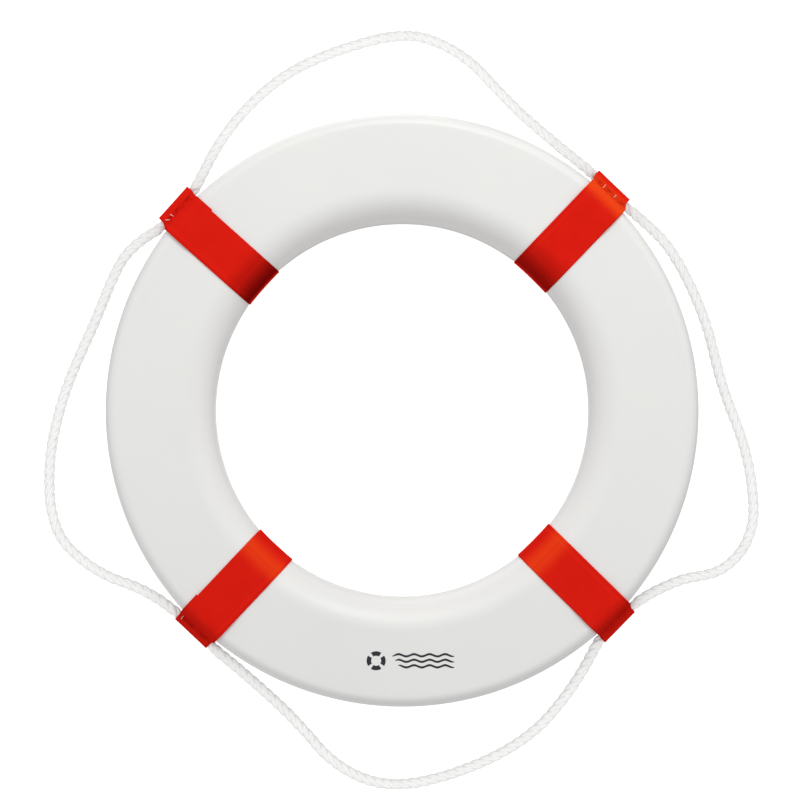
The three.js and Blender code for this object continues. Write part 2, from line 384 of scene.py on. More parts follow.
def bead_share(angles):
    """How much of the inner weld bead is left: it is trimmed where the straps cross it."""
    apart = [np.abs((angles - a + math.pi) % (2 * math.pi) - math.pi) for a in STRAP_ANGLES.values()]
    nearest = np.min(apart, axis=0)
    half_width = WEBBING_WIDTH / 2 / INNER_RADIUS
    untrimmed = smooth_step(half_width, half_width + TRIM_FADE, nearest)
    return (TRIMMED_BEAD + (1 - TRIMMED_BEAD) * untrimmed)[:, None]


def face_place(radius):
    """The place of a point of the flat face along the section, as ripple() takes it."""
    return (radius - INNER_RADIUS) / (OUTER_RADIUS - INNER_RADIUS)


def revolved(profile, segments, rippled):
    """Points and faces of a closed profile turned about +Z. Only its first `rippled` points get ripples."""
    tangents = np.roll(profile, -1, axis=0) - np.roll(profile, 1, axis=0)
    tangents /= np.linalg.norm(tangents, axis=1)[:, None]
    normals = np.stack([tangents[:, 1], -tangents[:, 0]], axis=1)
    angles = np.linspace(0, 2 * math.pi, segments, endpoint=False)
    place = face_place(profile[:, 0])
    amount = ripple(angles[:, None], place[None, :])
    amount[:, rippled:] = 0
    radius = profile[:, 0] + amount * normals[:, 0]
    on_inner_bead = profile[:, 0] < INNER_RADIUS
    trimmed = INNER_RADIUS + (radius - INNER_RADIUS) * bead_share(angles)
    radius = np.where(on_inner_bead, trimmed, radius)
    height = profile[:, 1] + amount * normals[:, 1]
    points = np.stack([
        radius * np.cos(angles)[:, None],
        radius * np.sin(angles)[:, None],
        height,
    ], axis=2)
    count = len(profile)
    faces = []
    for i in range(segments):
        k = (i + 1) % segments
        for j in range(count):
            m = (j + 1) % count
            faces.append((i * count + j, k * count + j, k * count + m, i * count + m))
    return points.reshape(-1, 3), faces


def half_shell_profile():
    """The front half shell: up the outer wall, across the face, down the inner wall and back inside."""
    def bead(radius, sign):
        rise = [(0.75, WELD_HALF_GAP), (1.0, 0.3), (1.0, 0.7), (0.8, 1.1), (0.35, 1.35), (0.05, 1.7)]
        return np.array([(radius + sign * BEAD_HEIGHT * share, height) for share, height in rise])

    outer = rim(True, 0, 14, 18)[2:]
    inner = rim(False, 0, 14, 26)[2:][::-1]
    face_radii = np.linspace(outer[-1, 0], inner[0, 0], 14)[1:-1]
    face = np.stack([face_radii, np.full_like(face_radii, HALF_THICKNESS)], axis=1)
    outside = np.vstack([bead(OUTER_RADIUS, 1), outer, face, inner, bead(INNER_RADIUS, -1)[::-1]])
    hollow = np.vstack([
        [(INNER_RADIUS + SHELL_WALL, WELD_HALF_GAP)],
        rim(False, -SHELL_WALL, 3, 5)[1:],
        rim(True, -SHELL_WALL, 3, 5)[1:][::-1],
        [(OUTER_RADIUS - SHELL_WALL, WELD_HALF_GAP)],
    ])
    return np.vstack([outside, hollow]), len(outside)


# ---------------------------------------------------------------- shader helpers


class Shader:
    """A small wrapper that adds nodes and links to a new material, or to a node tree that is given."""

    def __init__(self, name, tree=None):
        if tree is None:
            self.material = bpy.data.materials.new(name)
            self.material.use_nodes = True
            tree = self.material.node_tree
        self.tree = tree
        self.tree.nodes.clear()

    def add(self, kind, inputs=None, **settings):
        node = self.tree.nodes.new(kind)
        for key, value in settings.items():
            setattr(node, key, value)
        for key, value in (inputs or {}).items():
            self.feed(node.inputs[key], value)
        return node

    def feed(self, socket, value):
        if isinstance(value, bpy.types.NodeSocket):
            self.tree.links.new(value, socket)
        else:
            socket.default_value = value

    def math(self, operation, a, b=0.0, clamp=False):
        node = self.add("ShaderNodeMath", {0: a, 1: b}, operation=operation, use_clamp=clamp)
        return node.outputs[0]

    def ramp(self, value, low, high, to_low=0.0, to_high=1.0):
        node = self.add("ShaderNodeMapRange", {
            "Value": value, "From Min": low, "From Max": high, "To Min": to_low, "To Max": to_high,
        })
        return node.outputs["Result"]

    def mix(self, factor, a, b, mode="MIX"):
        node = self.add("ShaderNodeMix", data_type="RGBA", blend_type=mode)
        self.feed(node.inputs["Factor"], factor)
        self.feed(node.inputs["A"], a)
        self.feed(node.inputs["B"], b)
        return node.outputs["Result"]

    def noise(self, scale, detail=2.0, roughness=0.5, vector=None):
        inputs = {"Scale": scale, "Detail": detail, "Roughness": roughness}
        inputs["Vector"] = vector if vector is not None else self.position()
        return self.add("ShaderNodeTexNoise", inputs).outputs["Fac"]

    def position(self):
        """Object space: the piece's own metres, so that the pattern moves with the piece."""
        return self.add("ShaderNodeTexCoord").outputs["Object"]

    def bump(self, height, strength, distance, normal=None):
        inputs = {"Height": height, "Strength": strength, "Distance": distance}
        if normal is not None:
            inputs["Normal"] = normal
        return self.add("ShaderNodeBump", inputs).outputs["Normal"]

    def surface(self, inputs):
        principled = self.add("ShaderNodeBsdfPrincipled", inputs)
        self.add("ShaderNodeOutputMaterial", {"Surface": principled.outputs[0]})
        return self.material


def colour(red, green, blue):
    """A display colour, 0 to 255, as the linear colour that a shader takes."""
    linear = [((c / 255 + 0.055) / 1.055) ** 2.4 if c > 10 else c / 255 / 12.92 for c in (red, green, blue)]
    return (*linear, 1.0)


# ---------------------------------------------------------------- materials


def shell_plastic():
    """White moulded polyethylene: satin, a fine orange peel, faint clouding and a few scuffs."""
    s = Shader("shell_plastic")
    cloud = s.noise(9.0, 3.0)
    tint = s.mix(cloud, colour(236, 237, 237), colour(241, 241, 239))
    speck = s.ramp(s.noise(420.0, 1.0), 0.72, 0.80)
    tint = s.mix(s.math("MULTIPLY", speck, 0.10), tint, colour(150, 148, 142))
    stretched = s.add("ShaderNodeMapping", {"Vector": s.position(), "Scale": (18.0, 160.0, 18.0)})
    stretched.inputs["Rotation"].default_value = (0, 0, 0.6)
    scuff = s.ramp(s.noise(3.0, 4.0, 0.7, stretched.outputs[0]), 0.66, 0.78)
    tint = s.mix(s.math("MULTIPLY", scuff, 0.08), tint, colour(180, 178, 172))
    peel = s.noise(900.0, 2.0)
    swirl = s.noise(60.0, 2.0)
    normal = s.bump(peel, 0.12, 0.0002)
    normal = s.bump(swirl, 0.25, 0.0004, normal)
    normal = s.bump(scuff, 0.1, 0.0001, normal)
    rough = s.ramp(s.math("ADD", cloud, s.math("MULTIPLY", scuff, 0.4)), 0.3, 1.0, 0.38, 0.52)
    return s.surface({
        "Base Color": tint, "Roughness": rough, "Normal": normal,
        "IOR": 1.51, "Specular IOR Level": 0.42,
    })


def plug_plastic():
    """The plugs' slightly greyer plastic, with turning marks."""
    s = Shader("plug_plastic")
    tint = s.mix(s.noise(120.0, 3.0), colour(226, 227, 226), colour(234, 233, 230))
    normal = s.bump(s.noise(1400.0, 2.0), 0.2, 0.0002)
    rough = s.ramp(s.noise(200.0), 0.3, 0.7, 0.42, 0.58)
    return s.surface({"Base Color": tint, "Roughness": rough, "Normal": normal})


def rigid_foam():
    """Polyurethane foam: cream, with open cells on its skin."""
    s = Shader("rigid_foam")
    cells = s.add("ShaderNodeTexVoronoi", {"Vector": s.position(), "Scale": 900.0}).outputs["Distance"]
    tint = s.mix(s.noise(30.0, 4.0), colour(226, 211, 160), colour(238, 226, 184))
    tint = s.mix(s.ramp(cells, 0.0, 0.35, 0.35, 0.0), tint, colour(170, 148, 96))
    return s.surface({"Base Color": tint, "Roughness": 0.95, "Normal": s.bump(cells, 0.6, 0.0006)})


def red_webbing():
    """Woven polypropylene webbing. Its uv is in millimetres: x round the webbing, y along it."""
    s = Shader("red_webbing")
    uv = s.add("ShaderNodeSeparateXYZ", {"Vector": s.add("ShaderNodeUVMap", uv_map="cloth").outputs[0]})
    x = uv.outputs["X"]
    y = uv.outputs["Y"]
    shed = s.math("MULTIPLY", s.math("FLOOR", s.math("DIVIDE", x, WEAVE_PITCH)), 0.5)
    row = s.math("ADD", s.math("DIVIDE", y, WEAVE_PITCH), shed)
    weft = s.math("SINE", s.math("MULTIPLY", row, 2 * math.pi))
    warp = s.math("ABSOLUTE", s.math("SINE", s.math("MULTIPLY", x, math.pi / WEAVE_PITCH)))
    weave = s.math("MULTIPLY", s.ramp(weft, -1, 1, 0.45, 1.0), s.math("POWER", warp, 0.5))
    fibre = s.noise(1.0, 3.0, 0.6, s.add("ShaderNodeMapping", {
        "Vector": s.add("ShaderNodeUVMap", uv_map="cloth").outputs[0], "Scale": (6.0, 1.2, 1.0),
    }).outputs[0])
    patch = s.noise(45.0, 3.0)
    tint = s.mix(patch, colour(228, 28, 18), colour(238, 36, 24))
    tint = s.mix(s.ramp(weave, 0.15, 0.9, 0.28, 0.0), tint, colour(140, 2, 2))
    tint = s.mix(s.ramp(fibre, 0.45, 0.8, 0.0, 0.12), tint, colour(250, 70, 36))
    # Painted highlight and painted shade from a per-point attribute: orange where the roundings would catch
    # the lamp, deep red where they turn from it, shown on surfaces seen glancing or facing up
    glancing = s.ramp(s.add("ShaderNodeLayerWeight", {"Blend": 0.5}).outputs["Facing"], 0.03, 0.14)
    facing = s.add("ShaderNodeSeparateXYZ", {"Vector": s.add("ShaderNodeTexCoord").outputs["Normal"]})
    seen = s.math("MAXIMUM", glancing, s.ramp(facing.outputs["Z"], 0.7, 0.9))
    painted_light = s.math("MULTIPLY", s.add("ShaderNodeAttribute", attribute_name="painted_light").outputs["Fac"], seen)
    tint = s.mix(s.ramp(painted_light, 0.0, 1.0, 0.0, 0.62), tint, colour(255, 92, 30))
    tint = s.mix(s.ramp(painted_light, 0.0, -1.0, 0.0, 0.8), tint, colour(70, 0, 4))
    # Painted shade in the groove beyond the sewn end, mixed in as dark red
    painted_groove_shade = s.add("ShaderNodeAttribute", attribute_name="painted_groove_shade").outputs["Fac"]
    tint = s.mix(s.math("MULTIPLY", painted_groove_shade, 0.75), tint, colour(120, 0, 6))
    normal = s.bump(weave, 0.55, 0.0003)
    normal = s.bump(fibre, 0.25, 0.0001, normal)
    return s.surface({
        "Base Color": tint, "Roughness": 0.8, "Normal": normal, "Specular IOR Level": 0.0,
    })


def strand(name, shade, low, high, yarns, slant):
    """Twisted fibre. uv x goes once round a strand and y is millimetres along it."""
    s = Shader(name)
    map_node = s.add("ShaderNodeUVMap", uv_map="cloth").outputs[0]
    uv = s.add("ShaderNodeSeparateXYZ", {"Vector": map_node})
    turn = s.math("ADD", uv.outputs["X"], s.math("MULTIPLY", uv.outputs["Y"], slant))
    yarn = s.math("SINE", s.math("MULTIPLY", turn, 2 * math.pi * yarns))
    yarn = s.ramp(yarn, -1, 1)
    stretched = s.add("ShaderNodeMapping", {"Vector": map_node, "Scale": (30.0, 1.6, 1.0)})
    fuzz = s.noise(1.0, 3.0, 0.65, stretched.outputs[0])
    tint = s.mix(s.noise(70.0, 2.0), low, high)
    tint = s.mix(s.ramp(yarn, 0.0, 0.5, 0.3, 0.0), tint, shade)
    tint = s.mix(s.ramp(fuzz, 0.5, 0.8, 0.0, 0.25), tint, high)
    normal = s.bump(yarn, 0.5, 0.0003)
    normal = s.bump(fuzz, 0.3, 0.0001, normal)
    return s.surface({
        "Base Color": tint, "Roughness": 0.7, "Normal": normal, "Specular IOR Level": 0.0,
    })


def printing_ink():
    """Matt pad-printing ink, thin in places."""
    s = Shader("printing_ink")
    worn = s.ramp(s.noise(700.0, 3.0), 0.62, 0.85, 0.0, 0.35)
    tint = s.mix(worn, colour(30, 33, 40), colour(120, 122, 126))
    return s.surface({"Base Color": tint, "Roughness": 0.5, "Normal": s.bump(worn, 0.2, 0.0001)})


SHELL = shell_plastic()
PLUG = plug_plastic()
FOAM = rigid_foam()
WEBBING = red_webbing()
ROPE = strand("rope_fibre", colour(214, 214, 212), colour(246, 246, 245), colour(254, 254, 253), 7, 0.032)
THREAD = strand("pale_thread", colour(250, 170, 160), colour(255, 212, 204), colour(255, 236, 232), 3, 0.3)
RED_THREAD = strand("red_thread", colour(150, 8, 4), colour(214, 16, 6), colour(238, 26, 12), 3, 0.3)
INK = printing_ink()

# ---------------------------------------------------------------- ring


def cutter(radius, low, high, centre):
    """A plain round tool for cutting a recess; it is removed after use."""
    shape = bmesh.new()
    bmesh.ops.create_cone(
        shape,
        cap_ends=True,
        segments=PLUG_SIDES,
        radius1=radius * MM,
        radius2=radius * MM,
        depth=(high - low) * MM,
    )
    middle = Vector(centre) + Vector((0, 0, (low + high) / 2))
    bmesh.ops.translate(shape, verts=shape.verts, vec=middle * MM)
    return linked("cutter", mesh_of("cutter", shape))


def cut(piece, tool):
    modifier = piece.modifiers.new("cut", "BOOLEAN")
    modifier.object = tool
    modifier.solver = "EXACT"
    bpy.context.view_layer.update()
    evaluated = piece.evaluated_get(bpy.context.evaluated_depsgraph_get())
    mesh = bpy.data.meshes.new_from_object(evaluated)
    piece.modifiers.clear()
    piece.data = mesh
    bpy.data.objects.remove(tool)


def plug_form(node):
    """Centre, head radius and shank radius of a plug of the CAD."""
    low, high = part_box(node)
    centre = (low + high) / 2 / MM
    points = node_points(node)
    distance = np.hypot(points[:, 0] - centre.x, points[:, 1] - centre.y)
    innermost = points[:, 2] > points[:, 2].max() - 0.01
    return (centre.x, centre.y, 0.0), distance.max(), distance[innermost].max()


def ring():
    profile, rippled = half_shell_profile()
    points, faces = revolved(profile, 360, rippled)
    front = make_object("front_shell_skin", points, faces, SHELL, "ring")
    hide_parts("front_shell")

    points = points * (1, 1, -1)
    faces = [face[::-1] for face in faces]
    back = make_object("back_shell_skin", points, faces, SHELL, "ring")
    back_level = -HALF_THICKNESS
    for node in PLUG_NODES:
        centre, head, shank = plug_form(node)
        cut(back, cutter(head + PLUG_GAP, back_level - 2, back_level + PLUG_SEAT_DEPTH, centre))
        cut(back, cutter(shank + PLUG_GAP, back_level, back_level + SHELL_WALL + 2, centre))
    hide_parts("back_shell")

    sunk = -SHELL_WALL - FOAM_GAP
    outside = np.vstack([rim(True, sunk, 6, 6), rim(False, sunk, 6, 6)[::-1]])
    core_profile = np.vstack([outside, mirrored(outside)[::-1][1:-1]])
    points, faces = revolved(core_profile, 180, 0)
    core = make_object("foam_core_body", points, faces, FOAM, "ring")
    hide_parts("foam_core")


def plug(node):
    """A push-in plug: a domed head with a raised ring and a driver slot, on a ribbed shank."""
    centre, head, shank = plug_form(node)
    place = Vector((centre[0], centre[1], -HALF_THICKNESS))
    profile = [
        (0, 0.25), (head * 0.30, 0.22), (head * 0.52, 0.15), (head * 0.56, 0.0), (head * 0.64, 0.0),
        (head * 0.68, 0.15), (head * 0.9, 0.12), (head * 0.97, 0.2), (head, 0.5), (head, 1.45),
        (shank + 0.2, 1.5), (shank, 1.7), (shank * 0.97, 2.0), (shank, 2.3), (shank * 0.96, 2.9), (0, 2.95),
    ]
    shape = bmesh.new()
    turns = [2 * math.pi * i / PLUG_SIDES for i in range(PLUG_SIDES)]
    rings = []
    for radius, depth in profile:
        around = turns if radius > 0 else turns[:1]
        rings.append([
            shape.verts.new((radius * math.cos(turn), radius * math.sin(turn), depth)) for turn in around
        ])
    for lower, upper in zip(rings, rings[1:]):
        for i in range(PLUG_SIDES):
            k = (i + 1) % PLUG_SIDES
            corners = [
                lower[i % len(lower)],
                lower[k % len(lower)],
                upper[k % len(upper)],
                upper[i % len(upper)],
            ]
            shape.faces.new(list(dict.fromkeys(corners)))
    bmesh.ops.recalc_face_normals(shape, faces=shape.faces)
    bmesh.ops.translate(shape, verts=shape.verts, vec=place)
    bmesh.ops.scale(shape, verts=shape.verts, vec=(MM, MM, MM))
    mesh = mesh_of(f"{node}_body", shape)
    mesh.shade_smooth()
    mesh.materials.append(PLUG)
    piece = linked(f"{node}_body", mesh)

    slot_size = Vector((head * SLOT_LENGTH_SHARE, head * SLOT_WIDTH_SHARE, SLOT_HEIGHT))
    slot = bmesh.new()
    bmesh.ops.create_cube(slot, size=1.0)
    bmesh.ops.scale(slot, verts=slot.verts, vec=slot_size * MM)
    bmesh.ops.translate(slot, verts=slot.verts, vec=place * MM)
    cut(piece, linked("slot", mesh_of("slot", slot)))
    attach(piece, "ring")
    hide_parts(node)


# ---------------------------------------------------------------- straps
# A strap's own frame: x outward along the strap, y across it (anticlockwise round the ring), z up.


def strap_path():
    """The webbing's middle line as (radius, height)."""
    first = LAYER_GAP + WEBBING_THICKNESS / 2
    step = WEBBING_THICKNESS + LAYER_GAP
    turn = rim(True, first)[::-1]
    turn = turn[turn[:, 1] > TUNNEL_FOOT_HEIGHT]
    over_rope = PRESSED_ROPE_RADIUS + LAYER_GAP + WEBBING_THICKNESS / 2
    wrap = np.radians(np.linspace(TUNNEL_TANGENT, -TUNNEL_TANGENT, 15))
    tunnel = np.stack([ROPE_SEAT + over_rope * np.cos(wrap), over_rope * np.sin(wrap)], axis=1)
    inner = rim(False, first, 16)
    inner[:, 0] -= BEAD_HEIGHT * TRIMMED_BEAD * np.exp(-((inner[:, 1] / 7.0) ** 2))
    inner[:, 0] -= INNER_SLACK * (1 - smooth_step(0, HALF_THICKNESS, inner[:, 1]))
    top = HALF_THICKNESS
    parts = [
        [(START_RADIUS, top + first)],
        turn,
        tunnel,
        mirrored(turn)[::-1],
        mirrored(inner)[::-1],
        inner[1:],
        [(CLIMB_RADII[0], top + first), (CLIMB_RADII[1], top + first + step)],
        rim(True, first + step)[::-1][: len(turn)],
        [tunnel[0] + step * np.array([math.cos(wrap[0]), math.sin(wrap[0])])],
    ]
    path, along = resampled(np.vstack(parts), 0.5)
    path = softened(path, 10)
    beyond_end = (path[:, 0] > END_RADIUS) & (along > along[-1] / 2)
    return resampled(path[: np.argmax(beyond_end)], 1.0)


def beyond_rim(radius):
    """From 0 on the rim to 1 where the webbing has left it for the tunnel."""
    return smooth_step(OUTER_RADIUS + 1.5, OUTER_RADIUS + 6, radius)


def cross_section():
    """The webbing cut across: (place across, height), anticlockwise, with thicker selvedges."""
    half = WEBBING_WIDTH / 2
    edge = WEBBING_THICKNESS / 2
    flat = np.linspace(-half + edge, half - edge, POINTS_ACROSS)
    bulge = 1 + 0.10 * np.exp(-(((half - np.abs(flat)) / SELVEDGE) ** 2))
    turn = np.radians([-60, -20, 20, 60])
    lower = np.stack([flat, -edge * bulge], axis=1)
    right = np.stack([half - edge + edge * np.cos(turn), edge * np.sin(turn)], axis=1)
    upper = np.stack([flat[::-1], (edge * bulge)[::-1]], axis=1)
    left = np.stack([-half + edge - edge * np.cos(turn), -edge * np.sin(turn)], axis=1)
    return np.vstack([lower, right, upper, left])


def strap_rings(place, path, along):
    """The webbing's rings of points in the strap's own frame, and the shade painted into its groove at each
    point.
    """
    style = STRAPS[place]
    total = along[-1]
    tangents = np.gradient(path, axis=0)
    tangents /= np.linalg.norm(tangents, axis=1)[:, None]
    normals = np.stack([-tangents[:, 1], tangents[:, 0]], axis=1)

    to_end = total - along
    under_rope = along < total / 2
    off_rim = beyond_rim(path[:, 0])
    in_tunnel = off_rim * under_rope
    window = np.hanning(SETTLING)
    in_tunnel = np.where(path[:, 1] < 0, np.convolve(in_tunnel, window / window.sum(), "same"), in_tunnel)
    narrow = 1 - (1 - TUNNEL_WIDTH / WEBBING_WIDTH) * in_tunnel
    corner = np.clip(CORNER_LENGTH - to_end, 0, CORNER_LENGTH) / CORNER_LENGTH
    rounded = (1 - np.sqrt(1 - corner**2))[:, None]
    shift = style["shift"] + style["start_shift"] * (1 - smooth_step(0, total * SHIFTING_SHARE, along))
    shift = shift * (1 - in_tunnel) + style["tunnel_shift"] * in_tunnel

    section = cross_section()
    side = section[None, :, 0] / (WEBBING_WIDTH / 2)
    clockwise, anticlockwise = style["corners"]
    y = section[None, :, 0] * narrow[:, None] + shift[:, None]
    y = y - rounded * side * np.where(side < 0, clockwise, anticlockwise) * np.abs(side)
    puckered = sum(np.exp(-(((y - centre) / PUCKER_REACH) ** 2)) for centre in style["puckers"])
    near_seam = np.exp(-(((to_end - 1.5) / 4.0) ** 2))[:, None]
    off = section[None, :, 1] - style["pucker"] * near_seam * puckered
    off = off + 0.05 * np.sin(along * 0.11 + STRAP_ANGLES[place] * 3)[:, None] * np.sin(y * 0.12)
    radius = path[:, 0][:, None] + normals[:, 0][:, None] * off
    height = path[:, 1][:, None] + normals[:, 1][:, None] * off

    hugging = HUGGING * (1 - in_tunnel) * smooth_step(0, FLAT_END, to_end)
    ring_radius = path[:, 0][:, None]
    sagitta = ring_radius - np.sqrt(ring_radius**2 - y**2)
    slack = off_rim * style["slack"]
    radius = radius - hugging[:, None] * sagitta + slack[:, None]
    # Painted shade: the slope just beyond the sewn end is darkened like a groove in shadow, more where the
    # seam puckers it
    in_groove = np.exp(-(((path[:, 0] + slack - GROOVE_RADIUS) / GROOVE_REACH) ** 2))
    groove = in_groove * (path[:, 1] > 0) * under_rope
    painted_groove_shade = groove[:, None] * (0.3 + 0.7 * puckered) * style["groove"]
    return np.stack([radius, y, height], axis=2), np.clip(painted_groove_shade, 0, 1)


def strap_painted_light(place, path, count):
    """Painted highlight and shade on the roundings of the front face, from -1, painted deep red, to 1,
    painted orange.
    Each value is given count times, once for each point of a ring of the webbing."""
    tangents = np.gradient(path, axis=0)
    tilt = np.abs(tangents[:, 1]) / np.linalg.norm(tangents, axis=1)
    front = smooth_step(4, 16, path[:, 1])
    inside = path[:, 0] < (INNER_RADIUS + OUTER_RADIUS) / 2
    # bright is where a highlight is painted across the rounding, dark where shade is painted towards its
    # edge
    bright = smooth_step(0.1, 0.5, tilt) * (1 - 1.1 * inside * smooth_step(0.6, 1.0, tilt))
    dark = 0.35 * smooth_step(0.02, 0.5, tilt) + 0.65 * smooth_step(0.5, 1.0, tilt)
    strength = np.where(inside, *STRAPS[place]["painted_light"])
    painted_light = front * np.where(strength > 0, strength * bright, strength * dark)
    window = np.hanning(PAINTED_LIGHT_FADING)
    return np.repeat(np.convolve(painted_light, window / window.sum(), "same"), count)


def to_ring_frame(points, angle):
    """Points of a strap's own frame in the ring's."""
    return (
        points[..., :1] * direction(angle)
        + points[..., 1:2] * tangent(angle)
        + points[..., 2:] * np.array([0.0, 0.0, 1.0])
    )


def strap(place, path, along):
    rings, painted_groove_shade = strap_rings(place, path, along)
    rings = to_ring_frame(rings, STRAP_ANGLES[place])
    section = cross_section()
    closed = np.vstack([section, section[:1]])
    around = arc_lengths(closed)
    points, faces, uvs = tube(rings[:, ::-1], around, along)
    name = f"strap_{place}_webbing"
    piece = make_object(name, points, faces, WEBBING, "ring", uvs)
    # Both attributes hold painted shade and painted highlight for the webbing's material
    looks = {
        "painted_groove_shade": painted_groove_shade[:, ::-1].ravel(),
        "painted_light": strap_painted_light(place, path, rings.shape[1]),
    }
    for key, values in looks.items():
        attribute = piece.data.attributes.new(key, "FLOAT", "POINT")
        attribute.data.foreach_set("value", values.astype(np.float32))
    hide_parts(f"strap_{place}")


# ---------------------------------------------------------------- twisted rope and thread


def twisted(path, strand_radius, helix_radius, lay, step, sides, pressed=1.0):
    """Three strands laid round a path, right-handed, as (points, faces, uvs). pressed is how thick the ends
    are compared with the rest."""
    path, along = resampled(path, step)
    tangents = np.gradient(path, axis=0)
    tangents /= np.linalg.norm(tangents, axis=1)[:, None]
    across = np.zeros_like(path)
    start = np.array([0.0, 0.0, 1.0])
    for i, heading in enumerate(tangents):
        start = start - heading * (start @ heading)
        start /= np.linalg.norm(start)
        across[i] = start
    other = np.cross(tangents, across)
    to_end = np.minimum(along, along[-1] - along)
    scale = pressed + (1 - pressed) * smooth_step(*SWELLING, to_end)
    radii = (strand_radius * scale)[:, None, None]
    around = np.linspace(0, 2 * math.pi, sides, endpoint=False)
    parts = []
    for number in range(3):
        turn = 2 * math.pi * (along / lay + number / 3)
        outward = across * np.cos(turn)[:, None] + other * np.sin(turn)[:, None]
        centre = path + outward * (helix_radius * scale)[:, None]
        heading = np.gradient(centre, axis=0)
        heading /= np.linalg.norm(heading, axis=1)[:, None]
        side = np.cross(heading, outward)
        side /= np.linalg.norm(side, axis=1)[:, None]
        out = np.cross(side, heading)
        rings = (
            centre[:, None, :]
            + radii * np.cos(around)[None, :, None] * out[:, None, :]
            + radii * np.sin(around)[None, :, None] * side[:, None, :]
        )
        parts.append(tube(rings, np.linspace(0, 1, sides + 1), along))
    return joined(parts)


def tunnel_slope(place, path, reach, lift):
    """The point at a radius on the front slope of the tunnel, and raised off the webbing's middle line."""
    rising = path[(path[:, 1] > 3) & (np.arange(len(path)) < len(path) / 2)]
    rising = rising[rising[:, 0] > OUTER_RADIUS - OUTER_ROUNDING]
    slack = STRAPS[place]["slack"] * beyond_rim(rising[:, 0])
    radius = rising[:, 0] + slack
    heading = np.stack([np.gradient(radius), np.gradient(rising[:, 1])], axis=1)
    heading /= np.linalg.norm(heading, axis=1)[:, None]
    height = np.interp(reach, radius, rising[:, 1])
    across = np.interp(reach, radius, heading[:, 1])
    along = np.interp(reach, radius, heading[:, 0])
    return reach - across * lift, height + along * lift


def stitches(place, path):
    """The seam's red top thread through the webbing's end, and pale thread that bridges the groove."""
    top = LAYER_GAP * 2 + WEBBING_THICKNESS * 2
    angle = STRAP_ANGLES[place]

    def wall(height, lift):
        reach = math.sqrt((WALL_CURVE + lift) ** 2 - height**2)
        return OUTER_RADIUS - WALL_CURVE + reach

    def thread(points):
        ordered = np.array([(reach, y, height) for reach, height, y in points])
        line = to_ring_frame(catmull_rom(ordered, 6), angle)
        return twisted(line, THREAD_STRAND, THREAD_STRAND, THREAD_LAY, THREAD_STEP, THREAD_SIDES)

    # A stitch dips into the cloth at both ends: (place along the seam, height over the webbing)
    stitch = ((0.2, -0.5), (1.2, 0.05), (4.5, 0.3), (7.8, 0.05), (8.8, -0.5))
    seam = []
    for i in range(STITCHES):
        start = (i - STITCHES / 2) * STITCH_PITCH
        seam.append(thread([(wall(SEAM_HEIGHT, top + lift), SEAM_HEIGHT, start + y) for y, lift in stitch]))

    # A bridging thread hangs over the groove: (radius, height over the webbing, share of its slant)
    bridge = (
        (301.1, 1.9, 0.0), (301.7, 2.5, 0.1), (302.9, 2.5, 0.35), (304.2, 1.8, 0.6), (305.6, 1.0, 0.9),
        (306.3, 0.7, 1.0), (306.8, 0.2, 1.0),
    )
    bridges = []
    for y, slant in STRAPS[place]["bridges"]:
        bridges.append(thread([
            (*tunnel_slope(place, path, reach, lift), y + slant * share) for reach, lift, share in bridge
        ]))
    seam_faces = sum(len(faces) for _, faces, _ in seam)
    points, faces, uvs = joined(seam + bridges)
    piece = make_object(f"stitches_{place}_thread", points, faces, RED_THREAD, "ring", uvs)
    piece.data.materials.append(THREAD)
    for polygon in piece.data.polygons[seam_faces:]:
        polygon.material_index = 1
    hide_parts(f"stitches_{place}")


# ---------------------------------------------------------------- grab line


def loop_centres(node, angles):
    """Where the middle of a loop of the CAD crosses each half-plane through the ring's axis."""
    points = node_points(node)
    edges = np.array([edge.vertices[:] for edge in frame["nodes"][node].data.edges])
    starts, ends = points[edges[:, 0]], points[edges[:, 1]]
    centres = []
    for angle in angles:
        before, after = starts @ tangent(angle), ends @ tangent(angle)
        crosses = (before * after < 0) & ((starts + ends) @ direction(angle) > 0)
        share = (before / np.where(crosses, before - after, 1))[crosses]
        hits = starts[crosses] + share[:, None] * (ends - starts)[crosses]
        reach = hits @ direction(angle)
        height = hits[:, 2]
        middle = (reach.min() + reach.max()) / 2
        centres.append(middle * direction(angle) + np.array([0, 0, (height.min() + height.max()) / 2]))
    return np.array(centres)


def rope_near(place, y):
    """The middle of the rope in a tunnel or at its mouth, where it swells and rises off the bead."""
    angle = STRAP_ANGLES[place]
    rise = (ROPE_RADIUS - PRESSED_ROPE_RADIUS) * smooth_step(*SWELLING, abs(y))
    return (ROPE_SEAT + rise) * direction(angle) + y * tangent(angle)


def loop_path(side):
    """One loop's middle line, from the middle of one tunnel to the middle of the next."""
    first, last = LOOPS[side]
    start, end = STRAP_ANGLES[first], STRAP_ANGLES[last]
    if end < start:
        end += 2 * math.pi
    margin = math.radians(8.5)
    angles = np.linspace(start + margin, end - margin, 17)
    from_tunnel_middle = (0.15, 8.0, 16.0, 23.0, 29.5)
    leaving = [rope_near(first, y) for y in from_tunnel_middle]
    arriving = [rope_near(last, -y) for y in reversed(from_tunnel_middle)]
    centres = loop_centres(f"grab_line_loop_{side}", angles)
    path, _ = resampled(catmull_rom([*leaving, *centres, *arriving], 12), 2.0)
    return softened(path, 6)


